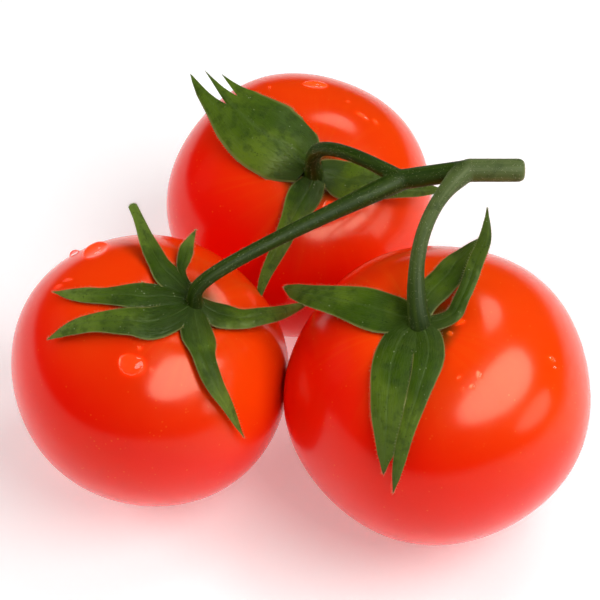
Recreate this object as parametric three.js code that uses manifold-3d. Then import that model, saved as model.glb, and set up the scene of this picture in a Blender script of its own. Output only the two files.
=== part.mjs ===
// A truss of three ripe tomatoes: three fruits resting side by side, one green stem that branches to each of
// them, and the star of leafy sepals round the stem end of every fruit.
// Millimetres and degrees, +Z up. The origin is at the middle of the footprint, on the surface they rest on.
import * as THREE from "three";
import { mergeVertices } from "three/addons/utils/BufferGeometryUtils.js";
import Module from "manifold-3d";

const wasm = await Module();
wasm.setup();

// ---------------------------------------------------------------- driving dimensions

const FRUIT = {
  shoulder: 0.05, // how much wider the stem half of a fruit is than its blossom half, as a share of the radius
  lobes: 5,
  cavityDepth: 4, // the hollow that the fruit stalk sits in
  cavityRadius: 9,
  blossomDepth: 0.8, // the shallow dimple at the blossom end
  blossomRadius: 5,
  restFlat: 0.35, // how far the ripe skin flattens where it rests
  around: 30,
  rows: 19,
};

// radius is at the widest, height is from the centre to each end, lean is how far the stem end tips from
// upright and towards which heading, heading 0 is +X and 90 is +Y.
const FRUITS = {
  left: { radius: 33.1, height: 29.7, lean: 24.5, heading: -11, lobeDepth: 0.35, lobeTurn: 20 },
  right: { radius: 35.3, height: 32.6, lean: 14.8, heading: 222, lobeDepth: 0.6, lobeTurn: 40 },
  back: { radius: 34.2, height: 29.6, lean: 30.7, heading: 283.5, lobeDepth: 0.5, lobeTurn: 38 },
};

// The clear space between the skins of each two fruits, and the heading from the left one to the right one.
const SPACING = {
  leftRight: 0.35,
  leftBack: 0.35,
  rightBack: 5.7,
  heading: -8.3,
  settling: 4, // how often the places are put right
};

const STEM = {
  seat: 1.1, // from the floor of a fruit's hollow up to the foot of its stalk
  stalkRadius: 1.7,
  branchRadius: 2.4, // between the fork and the joint
  mainRadius: 2.7, // from the joint to the cut end
  footRadius: 3.7, // the flared foot that carries the sepals
  footHeight: 2.4,
  baseLength: 10, // how far up from its foot a stalk goes on thinning
  sides: 12,
  steps: 14,
  fork: [21.8, 13.6, 14.7], // where two stalks meet, from the middle of the three stalk feet
  joint: [14.3, -1, 3.7], // where the front stalk joins them, from the fork
  cutLength: 13.3, // from the joint to the cut end
};

// How each stalk leaves its fruit and reaches the stem. rise is how far it carries on along the fruit's axis and
// aside is how far it strays from that axis. arrive is the handle that it bends towards, from its end on the stem.
// base is its radius over the foot, swell is its radius at the stem, and swellLength is how far back it swells.
const STALKS = {
  left: {
    end: "fork",
    rise: 8.5,
    aside: [0.6, 0, 0],
    arrive: [-58, -30, -8],
    base: 1.7,
    swell: 2.5,
    swellLength: 18,
  },
  right: {
    end: "joint",
    rise: 8.1,
    aside: [0.3, 0, 0],
    arrive: [-15.8, -19.2, 1.2],
    base: 2.5,
    swell: STEM.mainRadius,
    swellLength: 7,
  },
  back: {
    end: "fork",
    rise: 5,
    aside: [0, 0, 0],
    arrive: [-25.5, 18.5, 3],
    base: 2,
    swell: 1.9,
    swellLength: 6,
  },
};

const SEPAL = {
  thickness: 0.8,
  edge: 0.35, // thickness at the rim, as a share of the middle
  rootGap: 0.5, // from the stalk's foot to the roots of the sepals
  rootLift: 0.9, // from the skin up to the underside at the root
  steps: 10,
};

// root is where a blade starts beside the stalk's foot: degrees round the fruit's axis, and width. Every row of
// its route is one station from there to the tip: degrees down from the stem end, degrees round the fruit's axis,
// lift of the underside off the skin, and width.
// rim gives the blade's end: [place across from -1 to 1, share of the length reached there].
const POINTED = [
  [-1, 0.9],
  [-0.5, 0.97],
  [0, 1],
  [0.5, 0.97],
  [1, 0.9],
];
const BLUNT = [
  [-1, 0.96],
  [-0.4, 0.985],
  [0.3, 1],
  [1, 0.985],
];
const THREE_TIPS = [
  [-1, 0.88],
  [-0.8, 1],
  [-0.45, 0.86],
  [-0.15, 0.76],
  [0, 0.95],
  [0.2, 0.84],
  [0.37, 0.76],
  [0.55, 0.89],
  [1, 0.72],
];

const SEPALS = {
  left: {
    rear: {
      root: [134, 4],
      route: [[14, 137, 1.2, 7], [20.5, 136, 1.5, 5.2], [29, 130, 3, 4.2], [36, 127, 6, 2.9], [42, 125, 9, 2.3]],
      rim: BLUNT,
    },
    rear_small: {
      root: [88, 1.6],
      route: [[15, 104, 1.3, 2], [19, 105, 1.8, 3], [23.5, 100, 2.4, 3.1], [27, 96, 3.6, 1.8], [31, 93, 5, 0.4]],
    },
    side_rear: {
      root: [184, 2.8],
      route: [[17, 190, 0.9, 5.4], [25, 188, 0.8, 5.2], [36, 185, 0.8, 4.4], [44, 182, 0.8, 3.8], [57, 176, 1, 0.6]],
    },
    side_front: {
      root: [229, 2.8],
      route: [[19, 222, 1, 5.8], [28, 213, 1.6, 6.2], [38, 205, 2, 4.7], [48, 201, 1.8, 3.8], [61.5, 199, 1.2, 0.8]],
    },
    front: {
      root: [280, 4.6],
      route: [[15.5, 280, 1.1, 7.2], [24, 283, 1.5, 5.5], [34, 289, 2, 4.4], [44, 297, 2, 2.7], [57, 305, 2, 0.5]],
    },
    inner: {
      root: [352, 4.6],
      route: [[11, 350, 1.3, 6.4], [18, 352, 2, 5.3], [25.5, 362, 3.5, 4.3], [37, 373, 6, 2.5], [48, 382, 9, 0.8]],
    },
  },
  right: {
    inner: {
      root: [150, 5],
      route: [[11, 151, 1.2, 8.6], [19, 154, 1.6, 10], [30, 154, 3, 8.3], [41, 154, 6, 5.3], [54, 150.5, 9, 2.4]],
    },
    front_broad: {
      root: [208, 4.2],
      route: [[12, 227, 1.2, 7.2], [22, 239, 1.4, 8.2], [31, 245, 1.6, 7], [40, 248, 2, 5.2], [55, 250.5, 2.4, 1.2]],
    },
    front_narrow: {
      root: [288, 4.2],
      route: [[13, 282, 1.2, 5.8], [24, 271, 1.8, 4.8], [37, 262.5, 2, 3.6], [50, 258, 2.3, 2.5], [61, 255, 2.6, 0.7]],
    },
    rear_tall: {
      root: [-5, 3],
      route: [[11, 9, 1.7, 3.3], [15.5, 23, 3.2, 3.3], [22, 37, 7, 3.4], [26, 42, 13, 2.8], [27.5, 47, 19, 0.8]],
    },
    rear_short: {
      root: [90, 2.8],
      route: [[13, 70, 1.4, 5], [18.5, 62, 2.3, 6.4], [24, 57.5, 3.8, 5.8], [28, 54, 6, 3.8], [31.5, 51, 9, 0.7]],
    },
  },
  back: {
    three_tipped: {
      root: [138, 7.5],
      route: [[18, 141, 2, 18.2], [34.5, 140, 2.9, 16.4], [48, 136, 5.2, 12.4], [68, 129.5, 9.7, 8.5]],
      rim: THREE_TIPS,
    },
    front: {
      root: [252, 5],
      route: [[11, 249, 1.4, 7.2], [22, 246, 2.4, 5.2], [31, 246.5, 7, 3.8], [38, 250, 14.6, 2.4], [42, 253, 21, 0.7]],
    },
    side: {
      root: [2, 5.2],
      route: [[11, -8, 1.4, 8.6], [19, -9.5, 2.2, 9.2], [29.5, -8, 3.6, 6.8], [40, -6, 5.5, 3.8], [51, -3, 8, 0.8]],
    },
  },
};

const SKIN = new THREE.MeshStandardMaterial({ color: 0xe02a0c, roughness: 0.22, metalness: 0 });
const STALK = new THREE.MeshStandardMaterial({ color: 0x3d5c28, roughness: 0.6, metalness: 0 });
const LEAF = new THREE.MeshStandardMaterial({ color: 0x3f6f2a, roughness: 0.65, metalness: 0 });

// ---------------------------------------------------------------- small helpers

const rad = THREE.MathUtils.degToRad;
const vec = (x, y, z) => new THREE.Vector3(x, y, z);
const heading = (degrees) => vec(Math.cos(rad(degrees)), Math.sin(rad(degrees)), 0);

// Every column of a table of stations, read smoothly at t from 0 to 1 (a Catmull-Rom curve through the rows).
function stationAt(rows, t) {
  const place = t * (rows.length - 1);
  const i = Math.min(Math.floor(place), rows.length - 2);
  const f = place - i;
  const row = (k) => rows[THREE.MathUtils.clamp(k, 0, rows.length - 1)];
  return rows[0].map((_, column) => {
    const [a, b, c, d] = [row(i - 1), row(i), row(i + 1), row(i + 2)].map((r) => r[column]);
    const slopeB = (c - a) / 2;
    const slopeC = (d - b) / 2;
    return b + f * (slopeB + f * (3 * (c - b) - 2 * slopeB - slopeC + f * (2 * (b - c) + slopeB + slopeC)));
  });
}

// A closed surface from a list of points and quads or triangles that index it.
function surface(points, faces) {
  const index = faces.flatMap(([a, b, c, d]) => (d === undefined ? [a, b, c] : [a, b, c, a, c, d]));
  const geometry = new THREE.BufferGeometry().setFromPoints(points);
  geometry.setIndex(index);
  geometry.computeVertexNormals();
  return geometry;
}

// Closes a stack of rings into a skin, with one pole point at each end. Rings turn anticlockwise seen from the
// end pole.
function lathe(rings, startPole, endPole) {
  const sides = rings[0].length;
  const points = [...rings.flat(), startPole, endPole];
  const at = (ring, side) => ring * sides + (side % sides);
  const start = points.length - 2;
  const end = points.length - 1;
  const faces = [];
  for (let side = 0; side < sides; side++) {
    faces.push([start, at(0, side + 1), at(0, side)]);
    for (let ring = 0; ring < rings.length - 1; ring++) {
      faces.push([at(ring, side), at(ring, side + 1), at(ring + 1, side + 1), at(ring + 1, side)]);
    }
    faces.push([end, at(rings.length - 1, side), at(rings.length - 1, side + 1)]);
  }
  return surface(points, faces);
}

function solid(geometry) {
  const bare = geometry.index ? geometry.toNonIndexed() : geometry.clone();
  bare.deleteAttribute("normal");
  bare.deleteAttribute("uv");
  const merged = mergeVertices(bare, 1e-3);
  return new wasm.Manifold(
    new wasm.Mesh({
      numProp: 3,
      vertProperties: merged.attributes.position.array,
      triVerts: new Uint32Array(merged.index.array),
    }),
  );
}

function geometryOf(manifold) {
  const mesh = manifold.getMesh();
  const geometry = new THREE.BufferGeometry();
  geometry.setAttribute("position", new THREE.BufferAttribute(mesh.vertProperties, mesh.numProp));
  geometry.setIndex(new THREE.BufferAttribute(mesh.triVerts, 1));
  geometry.computeVertexNormals();
  return geometry;
}

// ---------------------------------------------------------------- fruits

// The fruit's own directions: axis towards the stem end, side is azimuth 0 and rear is azimuth 90.
function directions({ lean, heading: towards }) {
  const axis = heading(towards).multiplyScalar(Math.sin(rad(lean))).add(vec(0, 0, Math.cos(rad(lean))));
  const side = vec(1, 0, 0).addScaledVector(axis, -axis.x).normalize();
  return { axis, side, rear: axis.clone().cross(side) };
}

// A point of the skin, lifted off it along the outward direction. polar is 0 at the stem end, 180 at the other.
function skinPoint(fruit, polar, azimuth, lift = 0) {
  const sin = Math.sin(rad(polar));
  const cos = Math.cos(rad(polar));
  const ripple = Math.cos(rad(FRUIT.lobes * (azimuth - fruit.lobeTurn)));
  const lobe = fruit.lobeDepth * ripple * sin * sin * (0.6 + 0.4 * cos);
  let out = (fruit.radius + lobe) * sin * (1 + FRUIT.shoulder * cos);
  let up = fruit.height * cos;
  if (cos > 0) up -= FRUIT.cavityDepth * Math.exp(-((out / FRUIT.cavityRadius) ** 2));
  else up += FRUIT.blossomDepth * Math.exp(-((out / FRUIT.blossomRadius) ** 2));
  const slope = Math.hypot(sin / fruit.radius, cos / fruit.height);
  out += (lift * sin) / fruit.radius / slope;
  up += (lift * cos) / fruit.height / slope;
  return fruit.centre
    .clone()
    .addScaledVector(fruit.side, out * Math.cos(rad(azimuth)))
    .addScaledVector(fruit.rear, out * Math.sin(rad(azimuth)))
    .addScaledVector(fruit.axis, up);
}

function outward(fruit, polar, azimuth) {
  return skinPoint(fruit, polar, azimuth, 1).sub(skinPoint(fruit, polar, azimuth)).normalize();
}

// Stands the three fruits on the floor, the wanted clear space apart.
function placeFruits() {
  const { left, right, back } = FRUITS;
  for (const fruit of Object.values(FRUITS)) {
    Object.assign(fruit, directions(fruit), { centre: vec(0, 0, 0) });
    fruit.centre.z = restHeight(fruit);
  }
  const pairs = { leftRight: [left, right], leftBack: [left, back], rightBack: [right, back] };
  const apart = {};
  for (const [name, [a, b]] of Object.entries(pairs)) apart[name] = a.radius + b.radius + SPACING[name];
  for (let pass = 0; pass < SPACING.settling; pass++) {
    const along = (apart.leftRight ** 2 + apart.leftBack ** 2 - apart.rightBack ** 2) / (2 * apart.leftRight);
    const across = Math.sqrt(apart.leftBack ** 2 - along ** 2);
    const ahead = heading(SPACING.heading);
    const aside = heading(SPACING.heading + 90);
    right.centre.setX(ahead.x * apart.leftRight).setY(ahead.y * apart.leftRight);
    back.centre.setX(ahead.x * along + aside.x * across).setY(ahead.y * along + aside.y * across);
    for (const [name, [a, b]] of Object.entries(pairs)) {
      const gap = solid(fruitGeometry(a)).minGap(solid(fruitGeometry(b)), a.radius);
      apart[name] += SPACING[name] - gap;
    }
  }
}

// The height of the centre over the floor at which the lowest skin is pressed flat by restFlat.
function restHeight(fruit) {
  let lowest = 0;
  for (let polar = 90; polar <= 180; polar += 2) {
    for (let azimuth = 0; azimuth < 360; azimuth += 4) {
      lowest = Math.min(lowest, skinPoint(fruit, polar, azimuth).z);
    }
  }
  return -lowest - FRUIT.restFlat;
}

function fruitGeometry(fruit) {
  const rings = [];
  for (let row = 1; row < FRUIT.rows; row++) {
    const polar = 180 * (1 - row / FRUIT.rows);
    rings.push(
      Array.from({ length: FRUIT.around }, (_, k) => skinPoint(fruit, polar, (360 * k) / FRUIT.around)),
    );
  }
  const whole = lathe(rings, skinPoint(fruit, 180, 0), skinPoint(fruit, 0, 0));
  const reach = 4 * fruit.radius;
  const floor = new THREE.BoxGeometry(reach, reach, reach);
  floor.translate(fruit.centre.x, fruit.centre.y, -reach / 2);
  return geometryOf(solid(whole).subtract(solid(floor)));
}

// ---------------------------------------------------------------- stem

// A round stalk along a curve. radiusAt takes the distance from the start and from the end.
function stalkGeometry(curve, radiusAt) {
  const length = curve.getLength();
  const frames = curve.computeFrenetFrames(STEM.steps, false);
  const rings = [];
  for (let step = 0; step <= STEM.steps; step++) {
    const t = step / STEM.steps;
    const radius = radiusAt(t * length, (1 - t) * length);
    const centre = curve.getPointAt(t);
    rings.push(
      Array.from({ length: STEM.sides }, (_, k) => {
        const turn = (2 * Math.PI * k) / STEM.sides;
        return centre
          .clone()
          .addScaledVector(frames.normals[step], radius * Math.cos(turn))
          .addScaledVector(frames.binormals[step], radius * Math.sin(turn));
      }),
    );
  }
  return lathe(rings, curve.getPointAt(0), curve.getPointAt(1));
}

// A plain stretch of stem, rounded where it starts.
function stretch(from, to, radius) {
  const ball = new THREE.IcosahedronGeometry(radius, 2).translate(from.x, from.y, from.z);
  return [stalkGeometry(new THREE.LineCurve3(from, to), () => radius), ball];
}

const footOf = (fruit) => skinPoint(fruit, 0, 0, STEM.seat);

// 1 at distance 0, falling smoothly to nothing over the reach.
const fade = (distance, reach) => Math.exp(-((distance / reach) ** 2));

function stemGeometry() {
  const feet = Object.values(FRUITS).map(footOf);
  const middle = feet.reduce((sum, foot) => sum.add(foot), vec(0, 0, 0)).divideScalar(feet.length);
  const fork = middle.add(vec(...STEM.fork));
  const joint = fork.clone().add(vec(...STEM.joint));
  const cutEnd = joint.clone().add(vec(STEM.cutLength, 0, 0));
  const ends = { fork, joint };

  const parts = [...stretch(fork, joint, STEM.branchRadius), ...stretch(joint, cutEnd, STEM.mainRadius)];
  for (const [name, { end, rise, aside, arrive, base, swell, swellLength }] of Object.entries(STALKS)) {
    const foot = footOf(FRUITS[name]);
    const leaving = foot.clone().addScaledVector(FRUITS[name].axis, rise).add(vec(...aside));
    const arriving = ends[end].clone().add(vec(...arrive));
    const curve = new THREE.CubicBezierCurve3(foot, leaving, arriving, ends[end]);
    const radiusAt = (fromFoot, fromStem) =>
      STEM.stalkRadius +
      (STEM.footRadius - base) * fade(fromFoot, STEM.footHeight) +
      (base - STEM.stalkRadius) * fade(fromFoot, STEM.baseLength) +
      (swell - STEM.stalkRadius) * fade(fromStem, swellLength);
    parts.push(stalkGeometry(curve, radiusAt));
  }
  return geometryOf(parts.map(solid).reduce((whole, part) => whole.add(part)));
}

// ---------------------------------------------------------------- sepals

// A blade's own directions at share t of its length: the middle of its underside, its way across and its face.
function bladeFrame(fruit, route, t) {
  const at = (share) => {
    const [polar, azimuth, lift] = stationAt(route, share);
    return skinPoint(fruit, polar, azimuth, lift);
  };
  const step = 0.01;
  const [polar, azimuth, , width] = stationAt(route, t);
  const forward = at(Math.min(t + step, 1)).sub(at(Math.max(t - step, 0))).normalize();
  const up = outward(fruit, polar, azimuth);
  up.addScaledVector(forward, -up.dot(forward)).normalize();
  return { base: at(t), across: forward.clone().cross(up), up, width };
}

// The stations of a blade, from its root just clear of the stalk's foot.
function stationsOf(fruit, { root: [azimuth, width], route }) {
  const reach = (STEM.footRadius + SEPAL.rootGap) / (fruit.radius * (1 + FRUIT.shoulder));
  return [[THREE.MathUtils.radToDeg(Math.asin(reach)), azimuth, SEPAL.rootLift, width], ...route];
}

// Two faces of a blade that follows its route over the fruit and bends down with the skin at its sides.
function sepalGeometry(fruit, sepal) {
  const route = stationsOf(fruit, sepal);
  const rim = sepal.rim ?? POINTED;
  const columns = rim.length;
  const layers = { under: [], over: [] };
  for (let step = 0; step <= SEPAL.steps; step++) {
    for (const [place, reach] of rim) {
      const { base, across, up, width } = bladeFrame(fruit, route, (step / SEPAL.steps) * reach);
      const aside = (place * width) / 2;
      const droop = (aside * aside) / (2 * fruit.radius);
      const under = base.addScaledVector(across, aside).addScaledVector(up, -droop);
      const thickness = SEPAL.thickness * (1 - (1 - SEPAL.edge) * place * place);
      layers.under.push(under);
      layers.over.push(under.clone().addScaledVector(up, thickness));
    }
  }
  const points = [...layers.under, ...layers.over];
  const under = (step, column) => step * columns + column;
  const over = (step, column) => layers.under.length + under(step, column);
  const faces = [];
  for (let step = 0; step < SEPAL.steps; step++) {
    for (let c = 0; c < columns - 1; c++) {
      faces.push([over(step, c), over(step, c + 1), over(step + 1, c + 1), over(step + 1, c)]);
      faces.push([under(step, c), under(step + 1, c), under(step + 1, c + 1), under(step, c + 1)]);
    }
    const last = columns - 1;
    faces.push([under(step, 0), over(step, 0), over(step + 1, 0), under(step + 1, 0)]);
    faces.push([under(step, last), under(step + 1, last), over(step + 1, last), over(step, last)]);
  }
  for (let c = 0; c < columns - 1; c++) {
    faces.push([under(0, c), under(0, c + 1), over(0, c + 1), over(0, c)]);
    faces.push([
      under(SEPAL.steps, c),
      over(SEPAL.steps, c),
      over(SEPAL.steps, c + 1),
      under(SEPAL.steps, c + 1),
    ]);
  }
  return surface(points, faces);
}

// ---------------------------------------------------------------- the truss

function named(name, geometry, material) {
  const mesh = new THREE.Mesh(geometry, material);
  mesh.name = name;
  return mesh;
}

placeFruits();
const truss = new THREE.Group();
for (const [place, fruit] of Object.entries(FRUITS)) {
  truss.add(named(`tomato_${place}`, fruitGeometry(fruit), SKIN));
  for (const [where, sepal] of Object.entries(SEPALS[place])) {
    truss.add(named(`sepal_${place}_${where}`, sepalGeometry(fruit, sepal), LEAF));
  }
}
truss.add(named("stem", stemGeometry(), STALK));

const middle = new THREE.Box3().setFromObject(truss).getCenter(vec(0, 0, 0));
truss.position.set(-middle.x, -middle.y, 0);

export default truss;
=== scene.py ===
"""The looks of a truss of three ripe tomatoes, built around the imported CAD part.

Lengths are in metres and angles in degrees, in the part's own frame: +Z up, resting on z = 0.
"""

import math

import bpy
import numpy as np
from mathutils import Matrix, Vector, kdtree


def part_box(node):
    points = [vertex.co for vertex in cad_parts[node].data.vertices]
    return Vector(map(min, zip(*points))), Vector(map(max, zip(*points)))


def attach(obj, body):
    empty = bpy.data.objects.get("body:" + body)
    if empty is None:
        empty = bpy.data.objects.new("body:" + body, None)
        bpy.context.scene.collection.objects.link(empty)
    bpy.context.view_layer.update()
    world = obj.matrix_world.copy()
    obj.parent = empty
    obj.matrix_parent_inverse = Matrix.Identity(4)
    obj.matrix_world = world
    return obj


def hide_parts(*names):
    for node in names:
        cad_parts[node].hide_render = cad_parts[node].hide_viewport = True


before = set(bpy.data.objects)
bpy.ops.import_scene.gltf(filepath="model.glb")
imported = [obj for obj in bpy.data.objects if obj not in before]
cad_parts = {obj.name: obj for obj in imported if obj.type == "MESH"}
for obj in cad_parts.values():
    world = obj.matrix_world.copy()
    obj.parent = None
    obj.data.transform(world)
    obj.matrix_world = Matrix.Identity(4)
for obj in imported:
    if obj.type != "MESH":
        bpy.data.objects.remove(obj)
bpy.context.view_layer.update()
rng = np.random.default_rng(7)

# ---------------------------------------------------------------- driving dimensions

SHOULDER = 0.05  # how much wider a fruit's stem half is than its blossom half, as a share of its radius
LOBES = 5
CAVITY_DEPTH = 0.004  # the hollow that the fruit's stalk sits in
CAVITY_RADIUS = 0.009
BLOSSOM_DEPTH = 0.0008  # the dimple at the blossom end
BLOSSOM_RADIUS = 0.005

# radius is at the widest, and height is from the centre to each end. lean is how far the stem end tips
# towards the heading, where 0 is +X and 90 is +Y. lobe is how far the lobes stand out, and turn is where the
# first of them is.
FRUITS = {
    "left": {
        "radius": 0.0331, "height": 0.0297, "lean": 24.5, "heading": -11,
        "lobe": 0.00035, "turn": 20,
    },
    "right": {
        "radius": 0.0353, "height": 0.0326, "lean": 14.8, "heading": 222,
        "lobe": 0.0006, "turn": 40,
    },
    "back": {
        "radius": 0.0342, "height": 0.0296, "lean": 30.7, "heading": 283.5,
        "lobe": 0.0005, "turn": 38,
    },
}
FRUIT_ROWS = 110
FRUIT_AROUND = 160
STAND_ROWS = 90  # how finely a fruit is sampled to find where it stands
STAND_AROUND = 120

SEAT = 0.0011  # from the floor of a fruit's hollow up to the foot of its stalk
STALK_RADIUS = 0.0017
BRANCH_RADIUS = 0.0024  # between the fork and the joint
MAIN_RADIUS = 0.0027  # from the joint to the cut end
BASE_LENGTH = 0.01  # how far up from its foot a stalk goes on thinning
FOOT_RADIUS = 0.003
FOOT_HEIGHT = 0.0024
FORK = Vector((0.0218, 0.0136, 0.0147))  # where two stalks meet, from the middle of the three feet
JOINT = Vector((0.0143, -0.001, 0.0037))  # where the third stalk joins them, from the fork
CUT_LENGTH = 0.0133  # from the joint to the cut end
CUT_ROUND = 0.0006  # how far the rim of the cut end is rounded

# rise is how far a stalk follows its fruit's axis, aside bends it off that axis, and arrive is its last
# handle. base is its radius over the foot, swell its radius at the stem, and swell_length how far back it
# swells.
STALKS = {
    "left": {
        "end": "fork", "rise": 0.0085, "aside": (0.0006, 0, 0), "arrive": (-0.058, -0.03, -0.008),
        "base": 0.0017, "swell": 0.0025, "swell_length": 0.018,
    },
    "right": {
        "end": "joint", "rise": 0.0081, "aside": (0.0003, 0, 0), "arrive": (-0.0158, -0.0192, 0.0012),
        "base": 0.0025, "swell": 0.0027, "swell_length": 0.007,
    },
    "back": {
        "end": "fork", "rise": 0.005, "aside": (0, 0, 0), "arrive": (-0.0255, 0.0185, 0.003),
        "base": 0.002, "swell": 0.0019, "swell_length": 0.006,
    },
}
STALK_STEPS = 60
STALK_SIDES = 20
STEM_VOXEL = 0.00035
STEM_SMOOTHING = 10
FOOT_SHADE = 0.019  # how far up from its foot a stalk is darker
SPINE_NEIGHBOURS = 5  # over how many points of the spine the shade of the stem is evened out

BLADE_THICKNESS = 0.0008
BLADE_EDGE = 0.25  # thickness at the rim, as a share of the middle
BLADE_STEPS = 56
BLADE_COLUMNS = 20
BLADE_FOLD = 0.0003  # how deep the crease along the middle is
FOLD_WIDTH = 0.3  # and how wide, as a share of half the blade
BLADE_WAVE = 0.00025  # how far the edges wave up and down
WAVE_RATE = 14
BLADE_RAGGED = 0.04  # how uneven the edges are, as a share of the width
RAGGED_RATE = 11
TIP_THINNING = 0.6  # how much thinner the tip is than the root
ROOT_REACH = 0.0016  # how far from the fruit's axis a blade's root is
ROOT_LIFT = 0.0026

# A blade's end: place across from -1 to 1, and the share of the length that is reached there.
POINTED = [(-1, 0.9), (-0.5, 0.97), (0, 1), (0.5, 0.97), (1, 0.9)]
BLUNT = [(-1, 0.96), (-0.4, 0.985), (0.3, 1), (1, 0.985)]
THREE_TIPS = [
    (-1, 0.88), (-0.8, 1), (-0.45, 0.86), (-0.15, 0.76), (0, 0.95),
    (0.2, 0.84), (0.37, 0.76), (0.55, 0.89), (1, 0.72),
]

MM = 0.001
# root is (degrees round the fruit's axis, width in mm). Each row of the route from there to the tip is
# (degrees down from the stem end, degrees round the axis, lift of the underside off the skin in mm, width in
# mm). rim is the shape of the end, POINTED where none is given.
SEPALS = {
    "left": {
        "rear": {
            "root": (128, 5.5),
            "route": [
                (13.7, 136, 1.2, 8.1), (20.5, 136, 1.5, 5.2), (29.2, 130, 3, 4.2),
                (36.1, 127, 6, 2.8), (42.3, 125, 9, 2.3),
            ],
            "rim": BLUNT,
        },
        "rear_small": {
            "root": (108, 1.8),
            "route": [
                (13.5, 111, 1.2, 1.9), (18.9, 105, 1.6, 3), (23.5, 100, 2.2, 3.2),
                (27.4, 96, 3.5, 1.9), (31.6, 92, 5, 0.3),
            ],
        },
        "side_rear": {
            "root": (178, 5),
            "route": [
                (17, 190, 0.9, 8.8), (24.8, 188, 0.8, 6.6), (36.3, 185, 0.8, 4.4),
                (44.5, 182, 0.8, 3.8), (57.3, 176, 1, 0.5),
            ],
        },
        "side_front": {
            "root": (235, 4.8),
            "route": [
                (20.6, 222, 0.9, 8.2), (28.1, 213, 1.6, 6.8), (38.3, 205, 2, 4.7),
                (48.1, 201, 1.8, 3.8), (61.6, 199, 1.2, 0.7),
            ],
        },
        "front": {
            "root": (274, 5.6),
            "route": [
                (15.6, 280, 1, 8.2), (24.3, 283, 1.4, 5.5), (33.9, 289, 2, 4.4),
                (43.7, 297, 2, 2.7), (57.1, 305, 2, 0.3),
            ],
        },
        "inner": {
            "root": (350, 5.4),
            "route": [
                (10.6, 350, 1.2, 7.1), (18, 352, 2, 5.3), (25.6, 362, 3.5, 4.3),
                (37.9, 374, 6, 2.5), (50, 383, 9, 0.4),
            ],
        },
    },
    "right": {
        "inner": {
            "root": (149, 6.4),
            "route": [
                (10.4, 151, 1.2, 9.8), (18.7, 154, 1.6, 10.4), (30.1, 154, 3, 8.3),
                (40.9, 154, 6, 5.3), (54.1, 150, 9, 2.5),
            ],
        },
        "front_broad": {
            "root": (205, 6.4),
            "route": [
                (11.6, 229, 1.2, 9.4), (22.2, 242, 1.4, 9.3), (31, 247, 1.6, 8),
                (40.2, 250, 2, 6), (55, 251, 2.4, 1.3),
            ],
        },
        "front_narrow": {
            "root": (300, 6),
            "route": [
                (12.6, 282, 1.2, 6.7), (23.7, 269, 1.8, 5.4), (37, 261, 2, 3.6),
                (49.7, 257, 2.2, 2.6), (61.3, 255, 2.6, 0.6),
            ],
        },
        "rear_tall": {
            "root": (-5, 4.4),
            "route": [
                (10.8, 8, 1.6, 3.5), (15.3, 23, 3, 3.4), (22.3, 38, 6, 3.5),
                (26.5, 42, 12, 2.8), (27.6, 47, 19, 0.6),
            ],
        },
        "rear_short": {
            "root": (90, 5),
            "route": [
                (13.1, 68, 1.4, 7.6), (18.7, 59, 2.2, 8), (23.9, 57, 3.6, 6.2),
                (27.9, 53, 6, 4), (31.8, 50, 9, 0.5),
            ],
        },
    },
    "back": {
        "three_tipped": {
            "root": (137, 9.5),
            "route": [
                (11.6, 137, 1.2, 18), (22.1, 142, 1.6, 19.5), (34.9, 140, 2.8, 16.4),
                (48.2, 136.5, 5, 12.4), (70, 130, 10, 8.9),
            ],
            "rim": THREE_TIPS,
        },
        "front": {
            "root": (262, 6),
            "route": [
                (10, 249, 1.2, 8.2), (21.8, 246, 2.2, 5.3), (32.2, 246, 4, 4.1),
                (42, 246, 9, 2.6), (47.6, 248, 17, 0.5),
            ],
        },
        "side": {
            "root": (5, 6),
            "route": [
                (10.7, -9, 1.2, 10.2), (18.8, -10, 2.2, 9.7), (29.5, -8, 3.6, 6.8),
                (40.4, -6, 5.5, 3.8), (51.5, -3, 8, 0.6),
            ],
        },
    },
}

# Water drops: degrees down from the stem end and round the axis, then in mm the length down the fruit, the
# width round it, and the height.
DROPS = {
    "left": [
        (50, 144, 5.4, 6.4, 1.9),
        (66, 142, 2.6, 2.6, 0.9),
        (38, 236, 5.4, 5.6, 1.2),
        (31, 232, 0.9, 0.9, 0.4),
        (35, 248, 0.7, 1.2, 0.3),
        (57, 171, 2.6, 0.7, 0.35),
        (53, 168, 2.4, 0.7, 0.35),
    ],
    "right": [
        (28.6, 313, 1.8, 1.5, 0.5),
        (30.2, 304, 1.2, 1.5, 0.45),
        (25, 300, 0.7, 0.9, 0.3),
        (29.2, 298, 0.6, 0.6, 0.3),
        (41, 312, 0.6, 0.8, 0.25),
        (50.5, 348, 2.2, 1.2, 0.4),
        (52.5, 345, 1.2, 0.7, 0.3),
        (12.5, 0, 3.4, 1.6, 0.8),
        (10.5, 340, 1.6, 1.2, 0.6),
    ],
    "back": [
        (47, 87, 3, 6.2, 1.0),
        (49, 112, 0.7, 0.9, 0.3),
        (36, 53, 1, 3.6, 0.5),
        (39, 44, 0.8, 1.8, 0.4),
        (40, 66, 0.6, 0.7, 0.3),
        (14, 294, 2.2, 3, 0.7),
    ],
}
DROP_SIDES = 28
DROP_RINGS = 8
DROP_WOBBLE = (0.09, 0.05)  # how far a drop's outline is from an ellipse, in two waves and in three
DROP_SINK = 0.00003  # how far the rim of a drop is sunk into the skin

# The colour of each fruit's sepals towards their tips.
SEPAL_TIPS = {"left": (0.17, 0.26, 0.03), "right": (0.08, 0.13, 0.012), "back": (0.1, 0.165, 0.012)}
PAINTED_LIGHT_SIDE = (0.5, 0.1, 0.86)  # the side the lamps light most: painted light makes the skin more orange facing it, painted shade deeper red away

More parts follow.
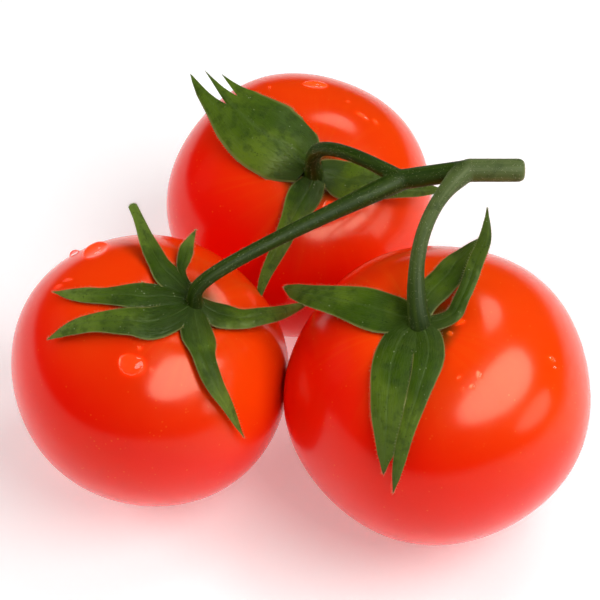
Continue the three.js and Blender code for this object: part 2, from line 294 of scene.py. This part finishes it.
HAIR_LENGTH = 0.0006
HAIR_RADIUS = 0.00002
HAIR_RANGE = (0.5, 1.3)  # the shortest and the longest, as shares of the length
HAIR_SPREAD = 0.45  # how far the hairs lean from straight out
ASLANT = (0.3, 0.5, 0.8)  # a direction to measure each hair's turn from
STEM_HAIRS = 2200
HAIRS_PER_RIM_POINT = 3

# The camera looks along +Y and down, at a point a little behind the middle of the truss.
CAMERA_AIM = Vector((0.0005, 0.0015, 0.03))
CAMERA_ELEVATION = 46
CAMERA_DISTANCE = 0.45
CAMERA_LENS = 110
CAMERA_SENSOR = 36

# Each lamp's azimuth, elevation, distance, size and power, then whether it lights the body colours and
# whether it shows in reflections.
LAMPS = {
    "window": (-34, 47, 0.6, (0.74, 0.34), 5.4, False, True),
    "strip": (-24, 16, 0.8, (0.5, 0.2), 0.9, False, True),
    "key": (-33, 52, 0.6, (0.5, 0.4), 2.15, True, False),
    "rear": (50, 56, 0.8, (0.24, 0.34), 1.1, False, True),
    "sun": (40, 60, 0.9, (0.3, 0.3), 1.2, True, False),
    "side": (166, 24, 1.0, (0.5, 0.5), 3.8, True, False),
}
SURROUNDINGS = 0.3  # how bright the white all round is
FLOOR_REACH = 6
FLOOR_GLOW = 0.25


# ---------------------------------------------------------------- helpers

def heading(degrees):
    """The level direction that many degrees round from +X towards +Y."""
    return Vector((math.cos(math.radians(degrees)), math.sin(math.radians(degrees)), 0))


def station_at(rows, t):
    """Every column of a table of stations at share t, on a smooth curve through its rows."""
    place = np.clip(t, 0, 1) * (len(rows) - 1)
    i = min(int(place), len(rows) - 2)
    f = place - i
    a, b, c, d = (rows[np.clip(k, 0, len(rows) - 1)] for k in (i - 1, i, i + 1, i + 2))
    slope_b = (c - a) / 2
    slope_c = (d - b) / 2
    squared = 3 * (c - b) - 2 * slope_b - slope_c
    cubed = 2 * (b - c) + slope_b + slope_c
    return b + f * (slope_b + f * (squared + f * cubed))


def new_piece(name, points, faces, material):
    """A smooth-shaded mesh piece that rides on the truss."""
    mesh = bpy.data.meshes.new(name)
    mesh.from_pydata([tuple(p) for p in points], [], [tuple(f) for f in faces])
    mesh.materials.append(material)
    mesh.shade_smooth()
    piece = bpy.data.objects.new(name, mesh)
    bpy.context.collection.objects.link(piece)
    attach(piece, "root")
    return piece


def store(piece, name, values):
    """Keeps three numbers for each vertex, for the material to read with Nodes.stored."""
    attribute = piece.data.attributes.new(name, "FLOAT_VECTOR", "POINT")
    attribute.data.foreach_set("vector", np.asarray(values, np.float32).ravel())


def grid_faces(rows, columns, closed=True):
    """Quads between rows of points that follow each other. A closed row joins its last point to its first."""
    faces = []
    for row in range(rows - 1):
        for k in range(columns if closed else columns - 1):
            a = row * columns + k
            b = row * columns + (k + 1) % columns
            faces.append((a, b, b + columns, a + columns))
    return faces


# ---------------------------------------------------------------- material nodes

class Nodes:
    """A material's node tree, with short calls for what the materials here share."""

    def __init__(self, name):
        self.material = bpy.data.materials.new(name)
        self.material.use_nodes = True
        self.tree = self.material.node_tree
        self.shader = self.tree.nodes["Principled BSDF"]

    def feed(self, socket, value):
        if isinstance(value, bpy.types.NodeSocket):
            self.tree.links.new(value, socket)
        elif isinstance(value, tuple) and len(value) == 3 and len(socket.default_value) == 4:
            socket.default_value = (*value, 1)
        else:
            socket.default_value = value

    def add(self, kind, **inputs):
        node = self.tree.nodes.new(kind)
        for key, value in inputs.items():
            self.feed(node.inputs[key.replace("_", " ")], value)
        return node

    def finish(self, **inputs):
        for key, value in inputs.items():
            self.feed(self.shader.inputs[key.replace("_", " ")], value)
        return self.material

    def place(self):
        return self.tree.nodes.new("ShaderNodeTexCoord").outputs["Object"]

    def stored(self, name):
        """The three numbers kept on the mesh under that name."""
        node = self.tree.nodes.new("ShaderNodeAttribute")
        node.attribute_name = name
        parts = self.add("ShaderNodeSeparateXYZ", Vector=node.outputs["Vector"]).outputs
        return parts["X"], parts["Y"], parts["Z"]

    def vector(self, x, y, z):
        return self.add("ShaderNodeCombineXYZ", X=x, Y=y, Z=z).outputs[0]

    def noise(self, where, scale, detail=3.0, roughness=0.5):
        node = self.add("ShaderNodeTexNoise", Vector=where, Scale=scale, Detail=detail, Roughness=roughness)
        return node.outputs["Fac"]

    def facing(self, direction):
        """How squarely the surface faces that direction, from -1 to 1."""
        node = self.tree.nodes.new("ShaderNodeVectorMath")
        node.operation = "DOT_PRODUCT"
        self.feed(node.inputs[0], self.tree.nodes.new("ShaderNodeNewGeometry").outputs["Normal"])
        node.inputs[1].default_value = direction
        return node.outputs["Value"]

    def dots(self, where, scale, size, share):
        """Small round dots, in patches that cover that share of the surface."""
        cell = self.add("ShaderNodeTexVoronoi", Vector=where, Scale=scale).outputs["Distance"]
        patch = self.noise(where, scale * 0.3, detail=1.0)
        return self.times(self.ramp(cell, size, size * 0.4), self.ramp(patch, 0.62 - share, 0.72 - share))

    def maths(self, operation, a, b=0.0):
        node = self.tree.nodes.new("ShaderNodeMath")
        node.operation = operation
        self.feed(node.inputs[0], a)
        self.feed(node.inputs[1], b)
        return node.outputs[0]

    def times(self, a, b):
        return self.maths("MULTIPLY", a, b)

    def ramp(self, factor, low, high, to_low=0.0, to_high=1.0):
        """Smoothly from one value at low to another at high."""
        node = self.tree.nodes.new("ShaderNodeMapRange")
        node.interpolation_type = "SMOOTHSTEP"
        flipped = low > high
        ends = (high, low, to_high, to_low) if flipped else (low, high, to_low, to_high)
        self.feed(node.inputs["Value"], factor)
        for key, value in zip(("From Min", "From Max", "To Min", "To Max"), ends):
            self.feed(node.inputs[key], value)
        return node.outputs["Result"]

    def mix(self, factor, a, b):
        node = self.tree.nodes.new("ShaderNodeMix")
        node.data_type = "RGBA"
        sockets = [socket for socket in node.inputs if socket.enabled]
        for socket, value in zip(sockets, (factor, a, b)):
            self.feed(socket, value)
        return next(socket for socket in node.outputs if socket.enabled)

    def bump(self, height, distance, strength=1.0, under=None):
        node = self.add("ShaderNodeBump", Height=height, Distance=distance, Strength=strength)
        if under is not None:
            self.feed(node.inputs["Normal"], under)
        return node.outputs["Normal"]


def skin_material(name, seed):
    """Ripe tomato skin: glossy red, painted more orange as painted light on the side facing the lamps
    and deeper red as painted shade away from them, with fine pale specks, faint streaks towards the
    stalk, a dull green hollow under the calyx, and a corky blossom scar."""
    n = Nodes(name)
    polar, cos_around, sin_around = n.stored("fruit")
    place = n.add("ShaderNodeMapping", Vector=n.place(), Location=(seed, seed * 0.7, seed * 0.3)).outputs[0]

    broad = n.noise(place, 22, detail=2)
    blotch = n.noise(place, 60, detail=4, roughness=0.6)
    drawn_out = n.vector(n.times(polar, 1.5), n.times(cos_around, 9), n.times(sin_around, 9))
    streak = n.noise(drawn_out, 1.0, 4, 0.6)

    # Painted light and shade: a shaded deep red and a lit orange, mixed by how squarely the skin faces the
    # lamps.
    deep = n.mix(n.ramp(broad, 0.35, 0.65), (0.88, 0.004, 0.0003), (0.93, 0.009, 0.0004))
    painted_lit_red = n.mix(n.ramp(broad, 0.35, 0.65), (0.94, 0.04, 0.0006), (0.97, 0.056, 0.0008))
    facing = n.maths("ADD", n.facing(PAINTED_LIGHT_SIDE), n.times(blotch, 0.3))
    red = n.mix(n.ramp(facing, 0.25, 1.05), deep, painted_lit_red)
    red = n.mix(n.times(n.ramp(streak, 0.45, 0.8), n.ramp(polar, 0.3, 0.06, 0, 0.4)), red, (0.95, 0.1, 0.004))
    red = n.mix(n.times(n.dots(place, 700, 0.2, 0.08), 0.3), red, (1.0, 0.2, 0.03))
    red = n.mix(n.ramp(polar, 0.085, 0.045, 0, 0.85), red, (0.1, 0.06, 0.004))
    red = n.mix(n.ramp(polar, 0.972, 0.985, 0, 0.9), red, (0.12, 0.05, 0.015))

    normal = n.bump(n.noise(place, 55, detail=1), 0.0002, 0.35)
    normal = n.bump(n.noise(place, 700, detail=2), 0.00001, 0.3, normal)
    return n.finish(
        Base_Color=red,
        Roughness=n.ramp(blotch, 0.3, 0.7, 0.15, 0.21),
        Normal=normal,
        IOR=1.36,
        Subsurface_Weight=0.1,
        Subsurface_Radius=(1.0, 0.12, 0.03),
        Subsurface_Scale=0.0015,
        Coat_Weight=0.06,
        Coat_Roughness=0.1,
        Coat_IOR=1.4,
        Specular_Tint=(1, 0.86, 0.6),
    )


def leaf_material(name, tip):
    """A sepal: dark green, paler towards its tip, with lengthwise veins, dark blotches and pits, pale specks
    and a thin pale rim that is partly the hairy edge and partly painted light on it. Its underside is paler."""
    n = Nodes(name)
    along, across, upper = n.stored("blade")
    place = n.place()
    aside = n.maths("ABSOLUTE", across)

    broad = n.noise(place, 75, detail=2)
    blotch = n.noise(place, 330, detail=5, roughness=0.65)
    drawn_out = n.vector(n.times(across, 3.4), n.times(along, 1.8), 0.0)
    veins = n.noise(drawn_out, 3.2, 4, 0.6)
    line = n.ramp(n.maths("ABSOLUTE", n.maths("SUBTRACT", veins, 0.5)), 0.035, 0.0)

    green = n.mix(n.ramp(broad, 0.38, 0.62), (0.042, 0.088, 0.001), (0.115, 0.185, 0.01))
    green = n.mix(n.ramp(along, 0.4, 0.9, 0, 0.8), green, tip)
    green = n.mix(n.ramp(blotch, 0.46, 0.66, 0, 0.6), green, (0.018, 0.045, 0.001))
    green = n.mix(n.ramp(along, 0.34, 0.08, 0, 0.85), green, (0.022, 0.05, 0.001))
    green = n.mix(n.times(line, 0.22), green, (0.11, 0.18, 0.03))
    green = n.mix(n.ramp(aside, 0.09, 0.02, 0, 0.3), green, (0.09, 0.15, 0.03))
    green = n.mix(n.times(n.dots(place, 1500, 0.3, 0.1), 0.7), green, (0.008, 0.02, 0.001))
    green = n.mix(n.times(n.dots(place, 1250, 0.22, 0.02), 0.8), green, (0.4, 0.46, 0.25))
    # A thin pale rim: partly the paler hairy edge, partly painted light where its hairs catch the light.
    green = n.mix(n.ramp(aside, 0.9, 0.99, 0, 0.75), green, (0.27, 0.27, 0.07))
    green = n.mix(n.maths("SUBTRACT", 0.5, n.times(upper, 0.5)), green, (0.12, 0.15, 0.03))

    normal = n.bump(n.maths("SUBTRACT", n.ramp(aside, 0.1, 0.0, 0, -1.5), line), 0.0001, 0.7)
    normal = n.bump(blotch, 0.0002, 0.6, normal)
    return n.finish(
        Base_Color=green,
        Roughness=n.ramp(blotch, 0.3, 0.7, 0.4, 0.6),
        Normal=normal,
        IOR=1.22,
        Subsurface_Weight=0.05,
        Subsurface_Radius=(0.3, 0.6, 0.1),
        Subsurface_Scale=0.001,
    )


def stem_material():
    """The stem: green with fine lengthwise ribs, grey-green from the right fruit's stalk to the cut end,
    darker on the other two stalks, on their branch and at the feet, and paler where it was cut."""
    n = Nodes("stem_skin")
    along, cos_around, sin_around = n.stored("stalk")
    dark, from_cut, foot = n.stored("tone")
    place = n.place()

    drawn_out = n.vector(n.times(along, 60), n.times(cos_around, 3), n.times(sin_around, 3))
    ribs = n.noise(drawn_out, 1.0, 4, 0.6)
    blotch = n.noise(place, 330, detail=4, roughness=0.6)
    pale = n.mix(n.ramp(ribs, 0.35, 0.7), (0.072, 0.105, 0.024), (0.115, 0.15, 0.044))
    deep = n.mix(n.ramp(ribs, 0.35, 0.7), (0.014, 0.034, 0.001), (0.036, 0.064, 0.004))
    green = n.mix(n.maths("MAXIMUM", dark, foot), pale, deep)
    green = n.mix(n.ramp(blotch, 0.5, 0.75, 0, 0.6), green, (0.025, 0.045, 0.006))
    green = n.mix(n.times(n.dots(place, 1600, 0.25, 0.04), 0.6), green, (0.36, 0.4, 0.24))
    green = n.mix(n.ramp(from_cut, 0.0006, 0.0001, 0, 0.8), green, (0.26, 0.27, 0.12))

    normal = n.bump(ribs, 0.00025, 0.6)
    normal = n.bump(blotch, 0.00012, 0.5, normal)
    return n.finish(
        Base_Color=green,
        Roughness=n.ramp(blotch, 0.3, 0.7, 0.42, 0.6),
        Normal=normal,
        IOR=1.24,
    )


def hair_material():
    """Fine pale down."""
    n = Nodes("down")
    shade = n.mix(n.noise(n.place(), 900), (0.4, 0.4, 0.18), (0.6, 0.58, 0.34))
    return n.finish(Base_Color=shade, Roughness=0.5)


def water_material():
    """Clear water."""
    n = Nodes("water")
    ripple = n.bump(n.noise(n.place(), 400, detail=1), 0.00004, 0.3)
    return n.finish(Base_Color=(1, 1, 1), Roughness=0.02, IOR=1.33, Transmission_Weight=1.0, Normal=ripple)


# ---------------------------------------------------------------- fruits

class Fruit:
    """One tomato's shape, and where the CAD stands it."""

    def __init__(self, name, size):
        self.name = name
        self.radius, self.height = size["radius"], size["height"]
        self.lobe, self.turn = size["lobe"], size["turn"]
        lean = math.radians(size["lean"])
        self.axis = heading(size["heading"]) * math.sin(lean) + Vector((0, 0, math.cos(lean)))
        side = Vector((1, 0, 0))
        side = (side - self.axis * side.dot(self.axis)).normalized()
        self.turned = np.array([side, self.axis.cross(side), self.axis])
        self.centre = np.zeros(3)
        self.centre = self.stand()

    def skin(self, polar, azimuth, lift=0.0):
        """Points of the skin. polar is 0 at the stem end, azimuth is round the axis from the side nearest +X,
        and lift is how far off the skin."""
        polar, azimuth, lift = np.broadcast_arrays(np.asarray(polar, float), azimuth, lift)
        sin, cos = np.sin(np.radians(polar)), np.cos(np.radians(polar))
        ripple = np.cos(np.radians(LOBES * (azimuth - self.turn)))
        # The lobes stand out most over the shoulders.
        lobe = self.lobe * ripple * sin * sin * (0.6 + 0.4 * cos)
        out = (self.radius + lobe) * sin * (1 + SHOULDER * cos)
        hollow = CAVITY_DEPTH * np.exp(-((out / CAVITY_RADIUS) ** 2))
        dimple = BLOSSOM_DEPTH * np.exp(-((out / BLOSSOM_RADIUS) ** 2))
        up = self.height * cos + np.where(cos > 0, -hollow, dimple)
        slope = np.hypot(sin / self.radius, cos / self.height)
        out = out + lift * sin / self.radius / slope
        up = up + lift * cos / self.height / slope
        around = np.radians(azimuth)
        return np.stack([out * np.cos(around), out * np.sin(around), up], -1) @ self.turned + self.centre

    def stand(self):
        """Where the centre goes for the shape to fill its CAD node's box."""
        polar, azimuth = np.meshgrid(np.linspace(0, 180, STAND_ROWS), np.linspace(0, 360, STAND_AROUND))
        points = self.skin(polar, azimuth).reshape(-1, 3)
        low, high = (np.array(corner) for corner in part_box(f"tomato_{self.name}"))
        middle = (low + high - points.min(0) - points.max(0)) / 2
        return np.array([middle[0], middle[1], high[2] - points[:, 2].max()])

    def foot(self):
        """The middle of the stalk's foot."""
        return Vector(self.skin(0, 0, SEAT))


def make_fruit(fruit, seed):
    """The whole fruit as one closed skin, flattened where it rests."""
    polar = np.linspace(180, 0, FRUIT_ROWS + 1)[1:-1]
    azimuth = np.linspace(0, 360, FRUIT_AROUND, endpoint=False)
    rings = np.stack(np.meshgrid(polar, azimuth, indexing="ij"), -1).reshape(-1, 2)
    places = np.vstack([rings, [(180, 0), (0, 0)]])
    points = fruit.skin(places[:, 0], places[:, 1])
    points[:, 2] = np.maximum(points[:, 2], 0)

    faces = grid_faces(len(polar), FRUIT_AROUND)
    bottom, top = len(rings), len(rings) + 1
    last = len(rings) - FRUIT_AROUND
    for k in range(FRUIT_AROUND):
        after = (k + 1) % FRUIT_AROUND
        faces.append((bottom, after, k))
        faces.append((top, last + k, last + after))

    material = skin_material(f"skin_{fruit.name}", seed)
    piece = new_piece(f"fruit_{fruit.name}", points, faces, material)
    around = np.radians(places[:, 1])
    store(piece, "fruit", np.stack([places[:, 0] / 180, np.cos(around), np.sin(around)], -1))
    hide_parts(f"tomato_{fruit.name}")


def make_drops(fruit, material):
    """The water drops on one fruit: low domes with uneven outlines."""
    around = np.linspace(0, 2 * math.pi, DROP_SIDES, endpoint=False)
    rings = np.sin(np.linspace(0, math.pi / 2, DROP_RINGS + 1))[1:]
    points, faces = [], []
    for polar, azimuth, length, width, height in DROPS[fruit.name]:
        start = len(points)
        phase = rng.uniform(0, 2 * math.pi, 2)
        two, three = (np.cos(waves * around + phase[waves - 2]) for waves in (2, 3))
        outline = 1 + DROP_WOBBLE[0] * two + DROP_WOBBLE[1] * three
        for share in rings[::-1]:
            down = np.degrees(share * outline * np.cos(around) * length * MM / 2 / fruit.radius)
            aside = np.degrees(share * outline * np.sin(around) * width * MM / 2 / fruit.radius)
            aside /= math.sin(math.radians(polar))
            lift = height * MM * math.sqrt(1 - share * share) - DROP_SINK
            points.extend(fruit.skin(polar + down, azimuth + aside, lift))
        points.append(fruit.skin(polar, azimuth, height * MM))
        faces += [tuple(start + k for k in face) for face in grid_faces(DROP_RINGS, DROP_SIDES)]
        last = start + (DROP_RINGS - 1) * DROP_SIDES
        top = start + DROP_RINGS * DROP_SIDES
        faces += [(last + k, last + (k + 1) % DROP_SIDES, top) for k in range(DROP_SIDES)]
        faces.append(tuple(start + k for k in reversed(range(DROP_SIDES))))
    piece = new_piece(f"water_drops_{fruit.name}", points, faces, material)
    piece.visible_shadow = False


# ---------------------------------------------------------------- stem

def fade(distance, reach):
    """1 at no distance, falling smoothly to nothing beyond the reach."""
    return np.exp(-((distance / reach) ** 2))


def bend(start, leaving, arriving, end, t):
    """A point of the curve from start to end that bends towards its two handles."""
    s = 1 - t
    return s**3 * start + 3 * s * s * t * leaving + 3 * s * t * t * arriving + t**3 * end


def stem_lengths(fruits):
    """Every length of the stem, as its points, the radius at each, how dark it is and whether it has a foot.
    Then the middle of the cut end."""
    feet = [fruit.foot() for fruit in fruits.values()]
    fork = sum(feet, Vector()) / len(feet) + FORK
    joint = fork + JOINT
    cut_end = joint + Vector((CUT_LENGTH, 0, 0))
    ends = {"fork": fork, "joint": joint}
    shares = [k / STALK_STEPS for k in range(STALK_STEPS + 1)]
    from_cut = CUT_LENGTH * (1 - np.array(shares))
    cut_radii = MAIN_RADIUS - CUT_ROUND * fade(from_cut, CUT_ROUND)
    lengths = [
        ([fork.lerp(joint, t) for t in shares], [BRANCH_RADIUS] * len(shares), 1.0, False),
        ([joint.lerp(cut_end, t) for t in shares], cut_radii, 0.0, False),
    ]
    for name, stalk in STALKS.items():
        fruit = fruits[name]
        foot = fruit.foot()
        end = ends[stalk["end"]]
        leaving = foot + fruit.axis * stalk["rise"] + Vector(stalk["aside"])
        points = [bend(foot, leaving, end + Vector(stalk["arrive"]), end, t) for t in shares]
        gone = np.cumsum([0] + [(b - a).length for a, b in zip(points, points[1:])])
        flare = (FOOT_RADIUS - stalk["base"]) * fade(gone, FOOT_HEIGHT)
        flare += (stalk["base"] - STALK_RADIUS) * fade(gone, BASE_LENGTH)
        swell = (stalk["swell"] - STALK_RADIUS) * fade(gone[-1] - gone, stalk["swell_length"])
        dark = 0.0 if stalk["end"] == "joint" else 1.0
        lengths.append((points, STALK_RADIUS + flare + swell, dark, True))
    return lengths, cut_end


def make_stem(fruits):
    """The branching stem as one skin: its lengths are lofted, melted together and smoothed."""
    lengths, cut_end = stem_lengths(fruits)
    turns = np.linspace(0, 2 * math.pi, STALK_SIDES, endpoint=False)
    points, faces, spine = [], [], []
    for path, radii, dark, has_foot in lengths:
        start = len(points)
        across = (path[1] - path[0]).orthogonal().normalized()
        gone = 0
        for k, centre in enumerate(path):
            ahead = (path[min(k + 1, len(path) - 1)] - path[max(k - 1, 0)]).normalized()
            across = (across - ahead * across.dot(ahead)).normalized()
            aside = ahead.cross(across)
            radius = float(radii[k])
            points += [centre + (across * math.cos(t) + aside * math.sin(t)) * radius for t in turns]
            gone += (centre - path[max(k - 1, 0)]).length
            foot = fade(gone, FOOT_SHADE) if has_foot else 0
            spine.append((centre, across.copy(), aside, gone, dark, foot))
        faces += [tuple(start + k for k in face) for face in grid_faces(len(path), STALK_SIDES)]
        faces.append(tuple(start + k for k in reversed(range(STALK_SIDES))))
        faces.append(tuple(len(points) - STALK_SIDES + k for k in range(STALK_SIDES)))

    piece = new_piece("stem_skin", points, faces, stem_material())
    remesh = piece.modifiers.new("melt", "REMESH")
    remesh.mode = "VOXEL"
    remesh.voxel_size = STEM_VOXEL
    smooth = piece.modifiers.new("smooth", "SMOOTH")
    smooth.iterations = STEM_SMOOTHING
    evaluated = piece.evaluated_get(bpy.context.evaluated_depsgraph_get())
    piece.data = bpy.data.meshes.new_from_object(evaluated)
    piece.modifiers.clear()
    piece.data.shade_smooth()

    tree = kdtree.KDTree(len(spine))
    for k, (centre, *_) in enumerate(spine):
        tree.insert(centre, k)
    tree.balance()
    stalk, tone = [], []
    for vertex in piece.data.vertices:
        near = [spine[k] for _, k, _ in tree.find_n(vertex.co, SPINE_NEIGHBOURS)]
        centre, across, aside, gone, _, foot = near[0]
        out = (vertex.co - centre).normalized()
        stalk.append((gone, out.dot(across), out.dot(aside)))
        dark = sum(place[4] for place in near) / len(near)
        tone.append((dark, cut_end.x - vertex.co.x, foot))
    store(piece, "stalk", stalk)
    store(piece, "tone", tone)
    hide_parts("stem")
    return piece


# ---------------------------------------------------------------- sepals

def blade_frame(fruit, rows, t):
    """The middle of a blade's underside at share t, its way across, its face, and its width."""
    step = 0.01

    def at(share):
        polar, azimuth, lift, _ = station_at(rows, share)
        return fruit.skin(polar, azimuth, lift)

    polar, azimuth, _, width = station_at(rows, t)
    forward = at(min(t + step, 1)) - at(max(t - step, 0))
    forward /= np.linalg.norm(forward)
    up = fruit.skin(polar, azimuth, MM) - fruit.skin(polar, azimuth, 0)
    up -= forward * up.dot(forward)
    up /= np.linalg.norm(up)
    return at(t), np.cross(forward, up), up, width


def make_sepal(fruit, name, sepal, material):
    """A leafy blade that follows its route over the fruit, a little waved, and folded along its middle.
    Returns the vertices along its upper rim, and the piece."""
    reach = math.degrees(math.asin(ROOT_REACH / (fruit.radius * (1 + SHOULDER))))
    azimuth, width = sepal["root"]
    rows = np.array([(reach, azimuth, ROOT_LIFT / MM, width), *sepal["route"]]) * (1, 1, MM, MM)
    rim = np.array(sepal.get("rim", POINTED), float)
    places = np.unique(np.concatenate([np.linspace(-1, 1, BLADE_COLUMNS + 1), rim[:, 0]]))
    reaches = np.interp(places, rim[:, 0], rim[:, 1])
    phase = rng.uniform(0, 2 * math.pi, 2)

    under, over, facts = [], [], []
    for step in range(BLADE_STEPS + 1):
        for place, share in zip(places, reaches):
            t = step / BLADE_STEPS * share
            base, across, up, width = blade_frame(fruit, rows, t)
            edge = place * place
            # The waves and the fold grow from the root and die away before the tip.
            settled = math.sin(math.pi * min(t * 1.2, 1))
            ragged = 1 + BLADE_RAGGED * edge * math.sin(RAGGED_RATE * t + phase[0] + place)
            aside = place * width / 2 * ragged
            wave = BLADE_WAVE * edge * settled * math.sin(WAVE_RATE * t + phase[1] + place)
            fold = BLADE_FOLD * math.exp(-((place / FOLD_WIDTH) ** 2)) * settled
            thickness = BLADE_THICKNESS * (1 - (1 - BLADE_EDGE) * edge)
            thickness *= 1 - TIP_THINNING * (step / BLADE_STEPS) ** 4
            low = base + across * aside + up * (wave - aside * aside / (2 * fruit.radius))
            under.append(low)
            over.append(low + up * (thickness - fold * min(1, thickness / BLADE_THICKNESS)))
            facts.append((t, place))

    columns, half = len(places), len(under)
    faces = [tuple(reversed(face)) for face in grid_faces(BLADE_STEPS + 1, columns, closed=False)]
    faces += [tuple(half + k for k in face) for face in grid_faces(BLADE_STEPS + 1, columns, closed=False)]
    outline = list(range(columns))
    outline += [step * columns + columns - 1 for step in range(1, BLADE_STEPS + 1)]
    outline += [BLADE_STEPS * columns + c for c in reversed(range(columns - 1))]
    outline += [step * columns for step in reversed(range(1, BLADE_STEPS))]
    for a, b in zip(outline, outline[1:] + outline[:1]):
        faces.append((a, b, half + b, half + a))

    piece = new_piece(f"leaf_{fruit.name}_{name}", under + over, faces, material)
    store(piece, "blade", [(t, p, 0) for t, p in facts] + [(t, p, 1) for t, p in facts])
    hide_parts(f"sepal_{fruit.name}_{name}")
    return [half + k for k in outline[columns:]], piece


# ---------------------------------------------------------------- down

def make_down(name, roots, ways, material, slot):
    """Fine hairs, each a closed three-sided spike that starts just inside the surface."""
    points, faces = [], []
    for root, way in zip(roots, ways):
        way = way + rng.normal(0, HAIR_SPREAD, 3)
        way /= np.linalg.norm(way)
        across = np.cross(way, ASLANT)
        across /= np.linalg.norm(across)
        aside = np.cross(way, across)
        start = len(points)
        root = root - way * HAIR_RADIUS
        for turn in (0, 2 * math.pi / 3, 4 * math.pi / 3):
            points.append(root + (across * math.cos(turn) + aside * math.sin(turn)) * HAIR_RADIUS)
        points.append(root + way * HAIR_LENGTH * rng.uniform(*HAIR_RANGE))
        faces += [(start + 2, start + 1, start)]
        faces += [(start + k, start + (k + 1) % 3, start + 3) for k in range(3)]
    new_piece(name, points, faces, material)


def down_on(piece, picks):
    """Where hairs start on a piece, and which way they point, at those vertices."""
    vertices = piece.data.vertices
    return [np.array(vertices[k].co) for k in picks], [np.array(vertices[k].normal) for k in picks]


# ---------------------------------------------------------------- setting

def make_floor():
    """A plain white table top, with a faint light of its own."""
    n = Nodes("floor")
    shade = n.mix(n.noise(n.place(), 3), (0.93, 0.93, 0.93), (0.95, 0.95, 0.95))
    mesh = bpy.data.meshes.new("floor")
    corners = [(FLOOR_REACH * x, FLOOR_REACH * y, 0) for x, y in ((-1, -1), (1, -1), (1, 1), (-1, 1))]
    mesh.from_pydata(corners, [], [(0, 1, 2, 3)])
    mesh.materials.append(n.finish(
        Base_Color=shade,
        Roughness=0.7,
        Emission_Color=(1, 1, 1),
        Emission_Strength=FLOOR_GLOW,
    ))
    floor = bpy.data.objects.new("floor", mesh)
    bpy.context.collection.objects.link(floor)


def make_light(name, azimuth, elevation, distance, size, power, diffuse, gloss):
    """A soft oval lamp that looks at the truss from that direction."""
    lamp = bpy.data.lights.new(name, "AREA")
    lamp.shape = "ELLIPSE"
    lamp.size, lamp.size_y = size
    lamp.energy = power
    piece = bpy.data.objects.new(name, lamp)
    bpy.context.collection.objects.link(piece)
    level = math.cos(math.radians(elevation))
    direction = heading(azimuth) * level + Vector((0, 0, math.sin(math.radians(elevation))))
    piece.location = CAMERA_AIM + direction * distance
    piece.rotation_euler = direction.to_track_quat("Z", "Y").to_euler()
    piece.visible_diffuse = diffuse
    piece.visible_glossy = gloss


def make_camera():
    """The camera, the even white surroundings, and how the picture is toned."""
    scene = bpy.context.scene
    camera = bpy.data.cameras.new("camera")
    camera.lens = CAMERA_LENS
    camera.sensor_width = CAMERA_SENSOR
    piece = bpy.data.objects.new("camera", camera)
    bpy.context.collection.objects.link(piece)
    elevation = math.radians(CAMERA_ELEVATION)
    back = Vector((0, -math.cos(elevation), math.sin(elevation)))
    piece.location = CAMERA_AIM + back * CAMERA_DISTANCE
    piece.rotation_euler = back.to_track_quat("Z", "Y").to_euler()
    scene.camera = piece

    world = bpy.data.worlds.new("world")
    world.use_nodes = True
    background = world.node_tree.nodes["Background"]
    background.inputs["Color"].default_value = (1, 1, 1, 1)
    background.inputs["Strength"].default_value = SURROUNDINGS
    world.cycles_visibility.glossy = False
    scene.world = world
    scene.view_settings.view_transform = "Standard"


make_camera()
make_floor()
for name, lamp in LAMPS.items():
    make_light(name, *lamp)

fruits = {name: Fruit(name, size) for name, size in FRUITS.items()}
down, water = hair_material(), water_material()
stem = make_stem(fruits)
picks = rng.choice(len(stem.data.vertices), STEM_HAIRS, replace=False)
make_down("stem_down", *down_on(stem, picks), down, "stem_green")
for seed, (name, fruit) in enumerate(fruits.items(), 1):
    make_fruit(fruit, seed)
    make_drops(fruit, water)
    leaf = leaf_material(f"sepals_{name}", SEPAL_TIPS[name])
    roots, ways = [], []
    for where, sepal in SEPALS[name].items():
        rim, piece = make_sepal(fruit, where, sepal, leaf)
        more_roots, more_ways = down_on(piece, np.repeat(rim, HAIRS_PER_RIM_POINT))
        roots += more_roots
        ways += more_ways
    make_down(f"calyx_down_{name}", roots, ways, down, "sepal_green")
